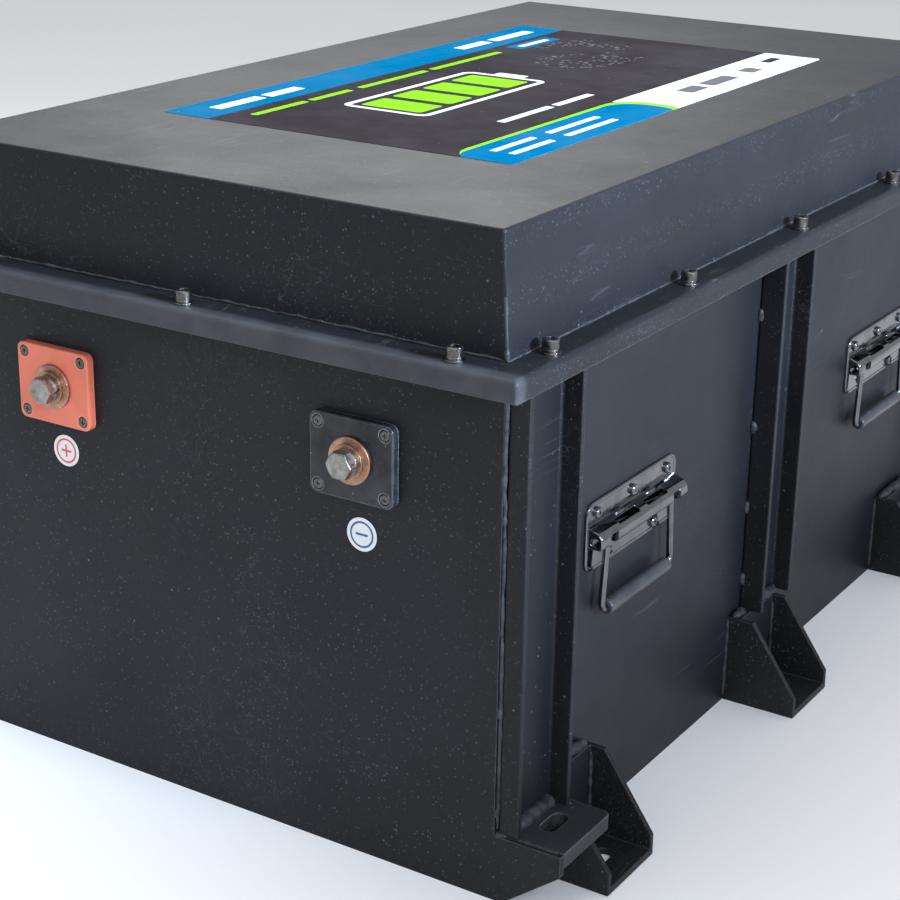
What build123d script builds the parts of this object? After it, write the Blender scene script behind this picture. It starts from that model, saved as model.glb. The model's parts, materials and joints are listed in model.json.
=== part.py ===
from build123d import *
import os
from math import cos, pi, sin

# Steel battery box with a bolted lid, two bolt-on end terminals and four swinging handles.
# Millimetres.  +Z is up, the terminal wall faces -Y, the long sides face +X and -X.
# The origin is the middle of the footprint, at floor level.

# ---------------------------------------------------------------- driving dimensions
CASE_LENGTH = 756.0        # outside of the front wall to outside of the rear wall
CASE_WIDTH = 440.0         # outside of one side wall to outside of the other
TOTAL_HEIGHT = 420.0       # floor to the top of the lid
LIP_TOP = 345.0            # floor to the top of the lid's bolting lip
COVER_CORNER_R = 2.0

SIDE_T = 3.0
END_T = 5.0
FLOOR_T = 4.0
RIM_T = 4.0
LID_T = 3.0
COVER_T = 2.5
GASKET_T = 3.0

LIP_SIDE = 20.0            # how far the lip stands out past the side walls
LIP_END = 24.0             # and past the end walls
SKIRT_HEIGHT = 14.0
SKIRT_T = 3.0
SKIRT_BEND_R = 3.5
SKIRT_GAP = 1.0            # between the rim frame's edge and the skirt's inner face
COVER_BASE_INSET = 1.0     # the raised cover's foot, inside the side wall's outer face
COVER_TAPER = 4.0          # how much each long side of the cover leans in by the top

CHANNEL_WIDTH = 52.0       # corner posts and middle ribs are folded channels
POST_WIDTH = 57.0
CHANNEL_T = 4.0
CHANNEL_DEPTH = 18.0
CORNER_LEG_DEPTH = 14.0    # the post's leg nearest the corner is cut shorter
CHANNEL_BEND_R = 2.0
POST_SETBACK = 2.0         # front wall's face to the post's first leg
MIDDLE_RIB_Y = -12.0

FOOT_WIDTH = 60.0
FOOT_REACH = 56.0
FOOT_HEIGHT = 66.0
FOOT_TIP_HEIGHT = 15.0
FOOT_SHELF = 20.0          # level part of the gusset's top edge
FOOT_PLATE_T = 4.0
FOOT_BASE_T = 5.0
FOOT_BACK_T = 10.0
FOOT_SLOT_X = 33.0         # slot centre from the side wall
FRONT_FOOT_IN = 72.0       # front foot's middle from the front wall's face
MIDDLE_FOOT_Y = -27.0
REAR_FOOT_IN = 120.0       # rear foot's middle from the rear wall's face

LUG_T = 10.0
LUG_TOP = 45.0
LUG_REACH = 44.5
LUG_LENGTH = 59.0
LUG_SLOT_X = 21.0
LUG_SLOT_Y = 29.0
LUG_CORNER_R = 5.0
EAR_LOWER_Z = 31.0
EAR_FOOT = 5.0             # where the ear's sloping edge meets the floor
EAR_FOOT_R = 9.0
SLOT_LENGTH = 24.0
SLOT_WIDTH = 11.0

TERMINAL_X = 117.5
TERMINAL_Z = 267.5
INSULATOR_WIDTH = 60.0
INSULATOR_HEIGHT = 52.0
INSULATOR_T = 6.0
INSULATOR_CORNER_R = 5.0
INSULATOR_SCREW_X = 24.0
INSULATOR_SCREW_Z = 20.0
SPIGOT_R = 15.0
SPIGOT_LENGTH = 8.0
BOSS_FLANGE_R = 15.0
BOSS_RING_R = 11.0
BOSS_STEP = 2.25           # thickness of the boss flange, and of the ring on it
BOSS_SHANK_R = 8.0
BOSS_TAIL = 14.0           # boss shank standing inside the case
STICKER_R = 10.75
STICKER_T = 0.3
PLUS_STICKER = (-114.5, 222.0)
MINUS_STICKER = (121.5, 219.0)

LABEL_WIDTH = 278.0
LABEL_LENGTH = 480.0
LABEL_X = -3.0
LABEL_Y = 2.0
LABEL_T = 0.3
LABEL_CORNER_R = 3.0

HANDLE_Y = (-222.0, 194.0)
HANDLE_Z = 205.0
HANDLE_PLATE_WIDTH = 120.0
HANDLE_PLATE_HEIGHT = 46.0
HANDLE_PLATE_T = 1.5
HANDLE_PLATE_R = 8.0
PIVOT_STANDOFF = 7.5       # pivot line from the side wall
PIVOT_RISE = -0.5          # pivot line from the plate's middle
BARREL_R = 5.5
WIRE_R = 2.25
PIVOT_CLEARANCE = 0.05
BAIL_TOP_HALF = 43.0       # half the distance between the legs at the pivot
BAIL_FOOT_HALF = 47.0      # and at the grip
BAIL_DROP = 49.5
BAIL_BEND_R = 5.0
BAIL_STUB = 30.0           # length of each inturned end
LEG_GAP = 5.5              # half the width of the barrel's notch for a leg
LEG_ROOM = 0.4             # and its height over a leg swung level
GRIP_R = 5.0
GRIP_LENGTH = 82.0
HANDLE_SCREWS = ((-47.0, 15.0), (0.0, 15.0), (47.0, 15.0), (-30.0, -17.0), (30.0, -17.0))

LID_SCREW_MARGIN_SIDE = 30.0   # outermost screw of a long side, in from the end wall's face
LID_SCREW_MARGIN_END = 27.0    # outermost screw of an end, in from the side wall's face
LID_SCREW_OUT_SIDE = 9.5   # screw line outside the side wall
LID_SCREW_OUT_END = 13.0   # and outside the end wall

M6_R = 3.0
M6_HEAD_R = 5.0
M6_HEAD_H = 6.0
M6_LENGTH = 20.0
M6_HOLE_R = 3.3
M6_NUT_FLATS = 10.0
M6_NUT_H = 5.0
M6_FLAT_R = 6.25
M6_FLAT_T = 1.2
M6_SPRING_T = 1.6
M4_R = 2.0
M4_HEAD_R = 3.75
M4_HEAD_H = 2.5
M4_HOLE_R = 2.2
M10_R = 5.0
M10_FLATS = 16.0
M10_HEAD_H = 6.4
M10_SHANK = 18.0
M10_SPRING_R = 9.0
M10_SPRING_T = 2.5
FIT = 0.1                  # radial gap of a screw in its own nut or tapped hole

CELL_X = 173.0
CELL_Y = 71.5
CELL_Z = 200.0
CELL_PITCH = 72.0
CELLS_PER_ROW = 8
ROW_X = 90.0
POLE_OUT = 60.0            # cell pole from the cell's middle
POLE_R = 9.0
POLE_H = 4.0
LINK_WIDTH = 22.0
LINK_T = 2.0
END_PLATE_T = 8.0
END_PLATE_Z = 186.0
STRAP_T = 1.5
STRAP_WIDTH = 25.0
STRAP_Z = (60.0, 150.0)
DECK_Z = 225.0
DECK_T = 3.0
DECK_HALF_X = 165.0
DECK_FLANGE_DROP = 70.0

MANAGER_X = (10.0, 150.0)  # battery manager's housing on the deck
MANAGER_Y = (-110.0, 90.0)
MANAGER_H = 45.0
MANAGER_CORNER_R = 4.0
MANAGER_FINS = 9           # grooves between the cooling fins
FIN_GROOVE_HALF = 2.0
FIN_DEPTH = 10.0
FIN_MARGIN = 12.0
CONTACTOR_X = -60.0
CONTACTOR_Y = -150.0
CONTACTOR_R = 32.0
CONTACTOR_H = 70.0
CONTACTOR_TOP_R = 3.0
CONTACTOR_EAR = 10.0       # foot plate past the round body
CONTACTOR_FOOT_HALF = 15.0
CONTACTOR_FOOT_T = 4.0
STUD_R = 5.0
STUD_H = 12.0
STUD_OUT = 15.0            # contactor stud from the contactor's middle
BARRIER_HALF_T = 2.0       # wall between the two studs
BARRIER_SHORT = 6.0        # how far the wall stops inside the body's radius
FUSE_Y = -235.0
FUSE_HALF_X = 18.0
FUSE_HALF_Y = 46.0
FUSE_BASE_H = 12.0
FUSE_BODY_R = 14.0
FUSE_BLOCK_H = 12.0
FUSE_BLOCK_HALF = 12.0
LEAD_WIDTH = 25.0
LEAD_T = 4.0
LEAD_SETBACK = 8.0         # lead's front face behind the end wall's inner face
LEAD_END_LIFT = 12.0       # level end of the negative lead above the deck
CABLE_R = 6.0
CABLE_BEND_R = 12.0

# ---------------------------------------------------------------- derived levels and faces
SIDE_X = CASE_WIDTH / 2
END_Y = CASE_LENGTH / 2
LID_SCREW_PITCH_SIDE = (CASE_LENGTH - 2 * LID_SCREW_MARGIN_SIDE) / 4
LID_SCREW_PITCH_END = (CASE_WIDTH - 2 * LID_SCREW_MARGIN_END) / 2
FOOT_Y = (FRONT_FOOT_IN - END_Y, MIDDLE_FOOT_Y, END_Y - REAR_FOOT_IN)
SIDE_IN = SIDE_X - SIDE_T
END_IN = END_Y - END_T
LIP_X = SIDE_X + LIP_SIDE
LIP_Y = END_Y + LIP_END
RIM_TOP = LIP_TOP - LID_T - GASKET_T
WALL_TOP = RIM_TOP - RIM_T
SKIRT_BOTTOM = LIP_TOP - SKIRT_HEIGHT
POST_TOP = SKIRT_BOTTOM - SKIRT_GAP
COVER_X = SIDE_X - COVER_BASE_INSET
COVER_Y = END_Y - COVER_BASE_INSET
LUG_BOTTOM = LUG_TOP - LUG_T
LUG_END = END_IN - LUG_LENGTH
PIVOT_X = SIDE_X + PIVOT_STANDOFF
PIVOT_Z = HANDLE_Z + PIVOT_RISE
INSULATOR_FACE = END_Y + INSULATOR_T
BOSS_FACE = INSULATOR_FACE + 2 * BOSS_STEP
CELL_BASE = FLOOR_T
POLE_TOP = CELL_BASE + CELL_Z + POLE_H
ROW_HALF = CELL_PITCH * CELLS_PER_ROW / 2
DECK_TOP = DECK_Z + DECK_T
CONTACTOR_TOP = DECK_TOP + CONTACTOR_H
FUSE_BLOCK_TOP = DECK_TOP + FUSE_BASE_H + FUSE_BLOCK_H
LEAD_Y = END_IN - LEAD_SETBACK

SIDES = {"right": 1, "left": -1}
ENDS = {"front": -1, "rear": 1}


# ---------------------------------------------------------------- small building blocks
def block(x0, x1, y0, y1, z0, z1):
    """Box between two opposite corners."""
    box = Box(abs(x1 - x0), abs(y1 - y0), abs(z1 - z0))
    return Pos((x0 + x1) / 2, (y0 + y1) / 2, (z0 + z1) / 2) * box


def rod_x(radius, x0, x1, y, z):
    return Pos((x0 + x1) / 2, y, z) * Rot(0, 90, 0) * Cylinder(radius, abs(x1 - x0))


def rod_y(radius, y0, y1, x, z):
    return Pos(x, (y0 + y1) / 2, z) * Rot(90, 0, 0) * Cylinder(radius, abs(y1 - y0))


def rod_z(radius, z0, z1, x, y):
    return Pos(x, y, (z0 + z1) / 2) * Cylinder(radius, abs(z1 - z0))


def slot_z(x, y, z0, z1):
    """Vertical slot running along Y."""
    outline = Rot(0, 0, 90) * SlotOverall(SLOT_LENGTH, SLOT_WIDTH)
    return Pos(x, y, z0) * extrude(outline, z1 - z0)


def across(shape):
    """The same piece on the opposite long side."""
    return mirror(shape, about=Plane.YZ)


def endwise(shape):
    """The same piece at the opposite end."""
    return mirror(shape, about=Plane.XZ)


def placed(shape, side, end):
    """A piece drawn for the right front corner, moved to the named corner."""
    moved = shape if SIDES[side] > 0 else across(shape)
    return moved if ENDS[end] < 0 else endwise(moved)


def group(shapes):
    return Compound(children=list(shapes))


def frame_ring(outer_x, outer_y, inner_x, inner_y, z0, z1):
    """Flat rectangular ring given by half-sizes."""
    outer = block(-outer_x, outer_x, -outer_y, outer_y, z0, z1)
    return outer - block(-inner_x, inner_x, -inner_y, inner_y, z0 - 1, z1 + 1)


def lid_screw_points():
    """Plan positions of the lid screws: five along each side, three along each end."""
    side_x = SIDE_X + LID_SCREW_OUT_SIDE
    end_y = END_Y + LID_SCREW_OUT_END
    points = [(s * side_x, n * LID_SCREW_PITCH_SIDE) for s in (-1, 1) for n in (-2, -1, 0, 1, 2)]
    points += [(n * LID_SCREW_PITCH_END, s * end_y) for s in (-1, 1) for n in (-1, 0, 1)]
    return points


def insulator_screw_points(x):
    signs = [(i, j) for i in (-1, 1) for j in (-1, 1)]
    return [(x + i * INSULATOR_SCREW_X, TERMINAL_Z + j * INSULATOR_SCREW_Z) for i, j in signs]


# ---------------------------------------------------------------- case
def floor_plate():
    return block(-SIDE_IN, SIDE_IN, -END_IN, END_IN, 0, FLOOR_T)


def end_wall_blank():
    """End wall with an ear low down at each side, drawn for the front."""
    edge = SIDE_X - SIDE_T / 2
    tip = SIDE_X + LUG_REACH
    heel = SIDE_X + EAR_FOOT
    half = [(0, 0), (heel, 0), (tip, EAR_LOWER_Z), (tip, LUG_TOP), (edge, LUG_TOP), (edge, WALL_TOP)]
    outline = half[1:] + [(-x, z) for x, z in reversed(half[1:])]
    face = make_face(Polyline(*outline, close=True))
    heels = [v for v in face.vertices() if abs(v.Y) < 1e-6]
    face = fillet(heels, EAR_FOOT_R)
    return Pos(0, -END_IN, 0) * Rot(90, 0, 0) * extrude(face, END_T)


def front_wall():
    wall = end_wall_blank()
    for x in (-TERMINAL_X, TERMINAL_X):
        wall -= rod_y(SPIGOT_R + FIT, -END_Y - 1, -END_IN + 1, x, TERMINAL_Z)
        for px, pz in insulator_screw_points(x):
            wall -= rod_y(M4_R + FIT, -END_Y - 1, -END_IN + 1, px, pz)
    return wall


def rear_wall():
    return endwise(end_wall_blank())


def side_wall():
    wall = block(SIDE_IN, SIDE_X, -END_IN, END_IN, 0, WALL_TOP)
    for handle_y in HANDLE_Y:
        for dy, dz in HANDLE_SCREWS:
            wall -= rod_x(M4_R + FIT, SIDE_IN - 1, SIDE_X + 1, handle_y + dy, HANDLE_Z + dz)
    return wall


def rim_frame():
    out_x = LIP_X - SKIRT_T - SKIRT_GAP
    out_y = LIP_Y - SKIRT_T - SKIRT_GAP
    rim = frame_ring(out_x, out_y, SIDE_IN, END_IN, WALL_TOP, RIM_TOP)
    for x, y in lid_screw_points():
        rim -= rod_z(M6_HOLE_R, WALL_TOP - 1, RIM_TOP + 1, x, y)
    return rim


def channel(y0, width, z0, first_leg, second_leg):
    """Folded channel lying against the right wall with its legs pointing out."""
    y1 = y0 + width
    x0 = SIDE_X
    outline = [
        (x0, y0), (x0 + first_leg, y0), (x0 + first_leg, y0 + CHANNEL_T),
        (x0 + CHANNEL_T, y0 + CHANNEL_T), (x0 + CHANNEL_T, y1 - CHANNEL_T),
        (x0 + second_leg, y1 - CHANNEL_T), (x0 + second_leg, y1), (x0, y1),
    ]
    face = make_face(Polyline(*outline, close=True))
    inner = [v for v in face.vertices() if abs(v.X - x0 - CHANNEL_T) < 1e-6]
    outer = [v for v in face.vertices() if abs(v.X - x0) < 1e-6]
    face = fillet(inner + outer, CHANNEL_BEND_R)
    return Pos(0, 0, z0) * extrude(face, POST_TOP - z0)


def corner_post():
    return channel(-END_Y + POST_SETBACK, POST_WIDTH, LUG_TOP, CORNER_LEG_DEPTH, CHANNEL_DEPTH)


def middle_rib():
    start = MIDDLE_RIB_Y - CHANNEL_WIDTH / 2
    return channel(start, CHANNEL_WIDTH, FOOT_HEIGHT, CHANNEL_DEPTH, CHANNEL_DEPTH)


def lug():
    """Thick tie-down plate tucked behind the ear, with one slot."""
    x1 = SIDE_X + LUG_REACH
    plate = block(SIDE_X, x1, -END_IN, -LUG_END, LUG_BOTTOM, LUG_TOP)
    corner = plate.edges().filter_by(Axis.Z).sort_by(lambda e: e.center().X + e.center().Y)[-1]
    plate = fillet(corner, LUG_CORNER_R)
    slot = slot_z(SIDE_X + LUG_SLOT_X, -END_IN + LUG_SLOT_Y, LUG_BOTTOM - 1, LUG_TOP + 1)
    return plate - slot


def foot(y):
    """Gusseted floor bracket on the right wall, centred at y."""
    half = FOOT_WIDTH / 2
    reach = SIDE_X + FOOT_REACH
    profile = [
        (SIDE_X, 0), (reach, 0), (reach, FOOT_TIP_HEIGHT),
        (SIDE_X + FOOT_SHELF, FOOT_HEIGHT), (SIDE_X, FOOT_HEIGHT),
    ]
    cheek = extrude(make_face(Polyline(*profile, close=True)), FOOT_PLATE_T)
    cheek = Rot(90, 0, 0) * cheek
    near = Pos(0, y - half + FOOT_PLATE_T, 0) * cheek
    far = Pos(0, y + half, 0) * cheek
    base = block(SIDE_X, reach, y - half, y + half, 0, FOOT_BASE_T)
    base -= slot_z(SIDE_X + FOOT_SLOT_X, y, -1, FOOT_BASE_T + 1)
    back = block(SIDE_X, SIDE_X + FOOT_BACK_T, y - half, y + half, 0, FOOT_HEIGHT)
    return near + far + base + back


def front_foot():
    """The front foot is cut away round the tie-down plate above it."""
    over = SIDE_X + 2 * FOOT_REACH
    notch = block(SIDE_X - 1, over, -END_Y, -LUG_END, LUG_BOTTOM, FOOT_HEIGHT + 1)
    return foot(FOOT_Y[0]) - notch


# ---------------------------------------------------------------- lid
def tapered_block(x0, x1, y, z0, z1, radius):
    """Box whose long sides lean in from half-width x0 to half-width x1."""
    lower = Pos(0, 0, z0) * RectangleRounded(2 * x0, 2 * y, radius)
    upper = Pos(0, 0, z1) * RectangleRounded(2 * x1, 2 * y, radius)
    return loft([lower, upper], ruled=True)


def lid():
    top_x = COVER_X - COVER_TAPER
    cover = tapered_block(COVER_X, top_x, COVER_Y, LIP_TOP, TOTAL_HEIGHT, COVER_CORNER_R)
    cover = fillet(cover.faces().sort_by(Axis.Z)[-1].edges(), COVER_CORNER_R)
    flange = block(-LIP_X, LIP_X, -LIP_Y, LIP_Y, SKIRT_BOTTOM, LIP_TOP)
    flange = fillet(flange.edges().filter_by(Axis.Z), COVER_CORNER_R)
    flange = fillet(flange.faces().sort_by(Axis.Z)[-1].edges(), SKIRT_BEND_R)
    under_x = LIP_X - SKIRT_T
    under_y = LIP_Y - SKIRT_T
    flange -= block(-under_x, under_x, -under_y, under_y, SKIRT_BOTTOM - 1, LIP_TOP - LID_T)
    hollow = tapered_block(
        COVER_X - COVER_T, top_x - COVER_T, COVER_Y - COVER_T,
        LIP_TOP - LID_T - 1, TOTAL_HEIGHT - COVER_T, COVER_CORNER_R,
    )
    shell = cover + flange - hollow
    for x, y in lid_screw_points():
        shell -= rod_z(M6_HOLE_R, LIP_TOP - LID_T - 1, LIP_TOP + 1, x, y)
    return shell


def lid_gasket():
    edge = 1.0
    out_x = LIP_X - SKIRT_T - SKIRT_GAP - edge
    out_y = LIP_Y - SKIRT_T - SKIRT_GAP - edge
    ring = frame_ring(out_x, out_y, SIDE_IN + edge, END_IN + edge, RIM_TOP, RIM_TOP + GASKET_T)
    for x, y in lid_screw_points():
        ring -= rod_z(M6_HOLE_R, RIM_TOP - 1, RIM_TOP + GASKET_T + 1, x, y)
    return ring


def hexagon(flats, height):
    return extrude(RegularPolygon(flats / 2, 6, major_radius=False), height)


def split_washer(inner, outer, thickness):
    """Spring washer: a ring with one narrow oblique cut."""
    ring = Pos(0, 0, thickness / 2) * (Cylinder(outer, thickness) - Cylinder(inner, 2 * thickness))
    cut = Pos(outer, 0, thickness / 2) * Rot(35, 0, 0) * Box(2 * outer, thickness / 2, 4 * thickness)
    return ring - cut


def socket_screw():
    """Socket-head screw, head underside at z = 0."""
    head = Pos(0, 0, M6_HEAD_H / 2) * Cylinder(M6_HEAD_R, M6_HEAD_H)
    head = chamfer(head.edges().sort_by(Axis.Z)[-1], M6_R / 5)
    shank = rod_z(M6_R, -M6_LENGTH, 0, 0, 0)
    shank = chamfer(shank.edges().sort_by(Axis.Z)[0], M6_R / 5)
    socket = Pos(0, 0, M6_HEAD_H / 2) * hexagon(M6_HEAD_R, M6_HEAD_H)
    return head + shank - socket


def lid_screws():
    z = LIP_TOP + M6_FLAT_T + M6_SPRING_T
    return group(Pos(x, y, z) * socket_screw() for x, y in lid_screw_points())


def lid_spring_washers():
    washer = split_washer(M6_R + FIT, M6_HEAD_R, M6_SPRING_T)
    return group(Pos(x, y, LIP_TOP + M6_FLAT_T) * washer for x, y in lid_screw_points())


def lid_flat_washers():
    washer = rod_z(M6_FLAT_R, 0, M6_FLAT_T, 0, 0) - rod_z(M6_HOLE_R, -1, M6_FLAT_T + 1, 0, 0)
    return group(Pos(x, y, LIP_TOP) * washer for x, y in lid_screw_points())


def lid_nuts():
    nut = hexagon(M6_NUT_FLATS, M6_NUT_H) - rod_z(M6_R + FIT, -1, M6_NUT_H + 1, 0, 0)
    return group(Pos(x, y, WALL_TOP - M6_NUT_H) * nut for x, y in lid_screw_points())


# ---------------------------------------------------------------- terminals and labels
def insulator(x):
    """Moulded plate that carries a terminal, with a spigot through the wall."""
    outline = RectangleRounded(INSULATOR_WIDTH, INSULATOR_HEIGHT, INSULATOR_CORNER_R)
    plate = Pos(x, -END_Y, TERMINAL_Z) * Rot(90, 0, 0) * extrude(outline, INSULATOR_T)
    rim = plate.faces().sort_by(Axis.Y)[0].edges()
    plate = fillet(rim, INSULATOR_T / 6)
    plate += rod_y(SPIGOT_R, -END_Y, -END_Y + SPIGOT_LENGTH, x, TERMINAL_Z)
    plate -= rod_y(BOSS_SHANK_R, -INSULATOR_FACE - 1, -END_IN + SPIGOT_LENGTH, x, TERMINAL_Z)
    for px, pz in insulator_screw_points(x):
        plate -= rod_y(M4_HOLE_R, -INSULATOR_FACE - 1, -END_Y + 1, px, pz)
        plate -= rod_y(M4_HEAD_R + M4_HOLE_R - M4_R, -INSULATOR_FACE - 1, -INSULATOR_FACE + M4_HEAD_H, px, pz)
    return plate


def pan_screw(length):
    """Small cross-recessed screw, head underside at z = 0."""
    head = Pos(0, 0, M4_HEAD_H / 2) * Cylinder(M4_HEAD_R, M4_HEAD_H)
    head = fillet(head.edges().sort_by(Axis.Z)[-1], M4_HEAD_H / 2)
    shank = rod_z(M4_R, -length, 0, 0, 0)
    arm = Box(M4_HEAD_R, M4_R / 2, M4_HEAD_H)
    recess = Pos(0, 0, M4_HEAD_H) * (arm + Rot(0, 0, 90) * arm)
    return head + shank - recess


def insulator_screws():
    screw = Rot(90, 0, 0) * pan_screw(INSULATOR_T + END_T)
    y = -INSULATOR_FACE + M4_HEAD_H
    points = insulator_screw_points(-TERMINAL_X) + insulator_screw_points(TERMINAL_X)
    return group(Pos(px, y, pz) * screw for px, pz in points)


def boss(x):
    """Copper terminal boss: flange, raised ring, and a tapped shank through the plate."""
    flange = rod_y(BOSS_FLANGE_R, -INSULATOR_FACE - BOSS_STEP, -INSULATOR_FACE, x, TERMINAL_Z)
    flange = fillet(flange.edges().sort_by(Axis.Y)[0], BOSS_STEP / 3)
    ring = rod_y(BOSS_RING_R, -BOSS_FACE, -INSULATOR_FACE - BOSS_STEP, x, TERMINAL_Z)
    ring = fillet(ring.edges().sort_by(Axis.Y)[0], BOSS_STEP / 5)
    shank = rod_y(BOSS_SHANK_R, -INSULATOR_FACE, -END_IN + BOSS_TAIL, x, TERMINAL_Z)
    tapped = rod_y(M10_R + FIT, -BOSS_FACE - 1, -BOSS_FACE + M10_SHANK + 1, x, TERMINAL_Z)
    return flange + ring + shank - tapped


def terminal_spring_washers():
    washer = Rot(90, 0, 0) * split_washer(M10_R + FIT, M10_SPRING_R, M10_SPRING_T)
    return group(Pos(x, -BOSS_FACE, TERMINAL_Z) * washer for x in (-TERMINAL_X, TERMINAL_X))


def hex_bolt():
    """Hexagon-head bolt, head underside at z = 0."""
    chamfer_r = 0.95 * M10_FLATS / 2
    slope_30 = M10_HEAD_H * 3 ** 0.5
    dome = Pos(0, 0, M10_HEAD_H / 2) * Cone(chamfer_r + slope_30, chamfer_r, M10_HEAD_H)
    head = hexagon(M10_FLATS, M10_HEAD_H) & dome
    shank = rod_z(M10_R, M10_SPRING_T - M10_SHANK, 0, 0, 0)
    return head + shank


def terminal_bolts():
    bolt = Rot(90, 0, 0) * hex_bolt()
    y = -BOSS_FACE - M10_SPRING_T
    return group(Pos(x, y, TERMINAL_Z) * bolt for x in (-TERMINAL_X, TERMINAL_X))


def sticker(position):
    x, z = position
    return rod_y(STICKER_R, -END_Y - STICKER_T, -END_Y, x, z)


def top_label():
    outline = RectangleRounded(LABEL_WIDTH, LABEL_LENGTH, LABEL_CORNER_R)
    return Pos(LABEL_X, LABEL_Y, TOTAL_HEIGHT) * extrude(outline, LABEL_T)


# ---------------------------------------------------------------- handles, drawn on the right wall
def handle_plate(y):
    """Pressed back plate with a raised barrel for the bail's pivot, open below and in front of each leg."""
    outline = RectangleRounded(HANDLE_PLATE_HEIGHT, HANDLE_PLATE_WIDTH, HANDLE_PLATE_R)
    plate = Pos(SIDE_X, y, HANDLE_Z) * Rot(0, 90, 0) * extrude(outline, HANDLE_PLATE_T)
    half = HANDLE_PLATE_WIDTH / 2
    barrel = rod_y(BARREL_R, y - half, y + half, PIVOT_X, PIVOT_Z)
    barrel += block(SIDE_X, PIVOT_X, y - half, y + half, PIVOT_Z - BARREL_R, PIVOT_Z + BARREL_R)
    barrel -= rod_y(WIRE_R + PIVOT_CLEARANCE, y - half - 1, y + half + 1, PIVOT_X, PIVOT_Z)
    gap_back = PIVOT_X - WIRE_R - 1
    for side in (-1, 1):
        leg_y = y + side * BAIL_TOP_HALF
        barrel -= block(
            gap_back, PIVOT_X + BARREL_R + 1, leg_y - LEG_GAP, leg_y + LEG_GAP,
            PIVOT_Z - BARREL_R - 1, PIVOT_Z + WIRE_R + LEG_ROOM,
        )
        window_y = y + side * BAIL_TOP_HALF / 2
        barrel -= block(
            PIVOT_X - BARREL_R, PIVOT_X + BARREL_R, window_y - BAIL_BEND_R, window_y + BAIL_BEND_R,
            PIVOT_Z + BARREL_R / 2, PIVOT_Z + BARREL_R + 1,
        )
    plate += barrel
    for dy, dz in HANDLE_SCREWS:
        plate -= rod_x(M4_HOLE_R, SIDE_X - 1, SIDE_X + HANDLE_PLATE_T + 1, y + dy, HANDLE_Z + dz)
    return plate


def handle_bail(y):
    """Bent wire with inturned ends in the barrel, legs, and a bar across the bottom."""
    foot_z = PIVOT_Z - BAIL_DROP
    corners = [
        (y - BAIL_TOP_HALF + BAIL_STUB, PIVOT_Z), (y - BAIL_TOP_HALF, PIVOT_Z),
        (y - BAIL_FOOT_HALF, foot_z), (y + BAIL_FOOT_HALF, foot_z),
        (y + BAIL_TOP_HALF, PIVOT_Z), (y + BAIL_TOP_HALF - BAIL_STUB, PIVOT_Z),
    ]
    path = FilletPolyline(*[(PIVOT_X, py, pz) for py, pz in corners], radius=BAIL_BEND_R)
    start = Plane(origin=path @ 0, z_dir=path % 0)
    return sweep(start * Circle(WIRE_R), path=path)


def handle_grip(y):
    """Moulded sleeve round the bail's bottom bar."""
    z = PIVOT_Z - BAIL_DROP
    half = GRIP_LENGTH / 2
    sleeve = rod_y(GRIP_R, y - half, y + half, PIVOT_X, z)
    sleeve = fillet(sleeve.edges(), GRIP_R / 4)
    return sleeve - rod_y(WIRE_R, y - half - 1, y + half + 1, PIVOT_X, z)


def handle_screws():
    screw = Rot(0, 90, 0) * pan_screw(HANDLE_PLATE_T + 2 * SIDE_T)
    x = SIDE_X + HANDLE_PLATE_T
    right = [
        Pos(x, handle_y + dy, HANDLE_Z + dz) * screw
        for handle_y in HANDLE_Y
        for dy, dz in HANDLE_SCREWS
    ]
    return group(right + [across(s) for s in right])


# ---------------------------------------------------------------- inside the case
def cell():
    """Prismatic cell with its two poles, base at z = 0."""
    can = Pos(0, 0, CELL_Z / 2) * Box(CELL_X, CELL_Y, CELL_Z)
    can = fillet(can.edges().filter_by(Axis.Z), 3)
    for pole_x in (-POLE_OUT, POLE_OUT):
        can += rod_z(POLE_R, CELL_Z, CELL_Z + POLE_H, pole_x, 0)
    vent = Pos(0, 0, CELL_Z) * extrude(SlotOverall(4 * POLE_H, 2 * POLE_H), POLE_H / 4)
    return can + vent


def cell_centres():
    """Plan centres of the cells, one row after the other, front to rear."""
    offsets = [(n - (CELLS_PER_ROW - 1) / 2) * CELL_PITCH for n in range(CELLS_PER_ROW)]
    return {row: [(row * ROW_X, offset) for offset in offsets] for row in (-1, 1)}


def battery_cells():
    return group(Pos(x, y, CELL_BASE) * cell() for row in cell_centres().values() for x, y in row)


def cell_frame(row):
    """Two end plates joined by straps round one row of cells."""
    x0 = row * ROW_X - CELL_X / 2
    x1 = row * ROW_X + CELL_X / 2
    frame = block(x0, x1, -ROW_HALF - END_PLATE_T, -ROW_HALF, CELL_BASE, CELL_BASE + END_PLATE_Z)
    frame += block(x0, x1, ROW_HALF, ROW_HALF + END_PLATE_T, CELL_BASE, CELL_BASE + END_PLATE_Z)
    reach = ROW_HALF + END_PLATE_T
    for z in STRAP_Z:
        frame += block(x0 - STRAP_T, x0, -reach, reach, z - STRAP_WIDTH / 2, z + STRAP_WIDTH / 2)
        frame += block(x1, x1 + STRAP_T, -reach, reach, z - STRAP_WIDTH / 2, z + STRAP_WIDTH / 2)
    return frame


def cell_frames():
    return group([cell_frame(-1), cell_frame(1)])


def cell_busbars():
    """Links that join the cells in series, and the cross link at the rear."""
    links = []
    z = POLE_TOP
    half = LINK_WIDTH / 2
    for row, centres in cell_centres().items():
        for n in range(CELLS_PER_ROW - 1):
            outward = 1 if n % 2 == 0 else -1
            x = row * (ROW_X + outward * POLE_OUT)
            y0, y1 = centres[n][1], centres[n + 1][1]
            links.append(block(x - half, x + half, y0 - half, y1 + half, z, z + LINK_T))
    inner = ROW_X - POLE_OUT
    last = cell_centres()[1][-1][1]
    links.append(block(-inner - half, inner + half, last - half, last + half, z, z + LINK_T))
    return group(links)


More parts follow.
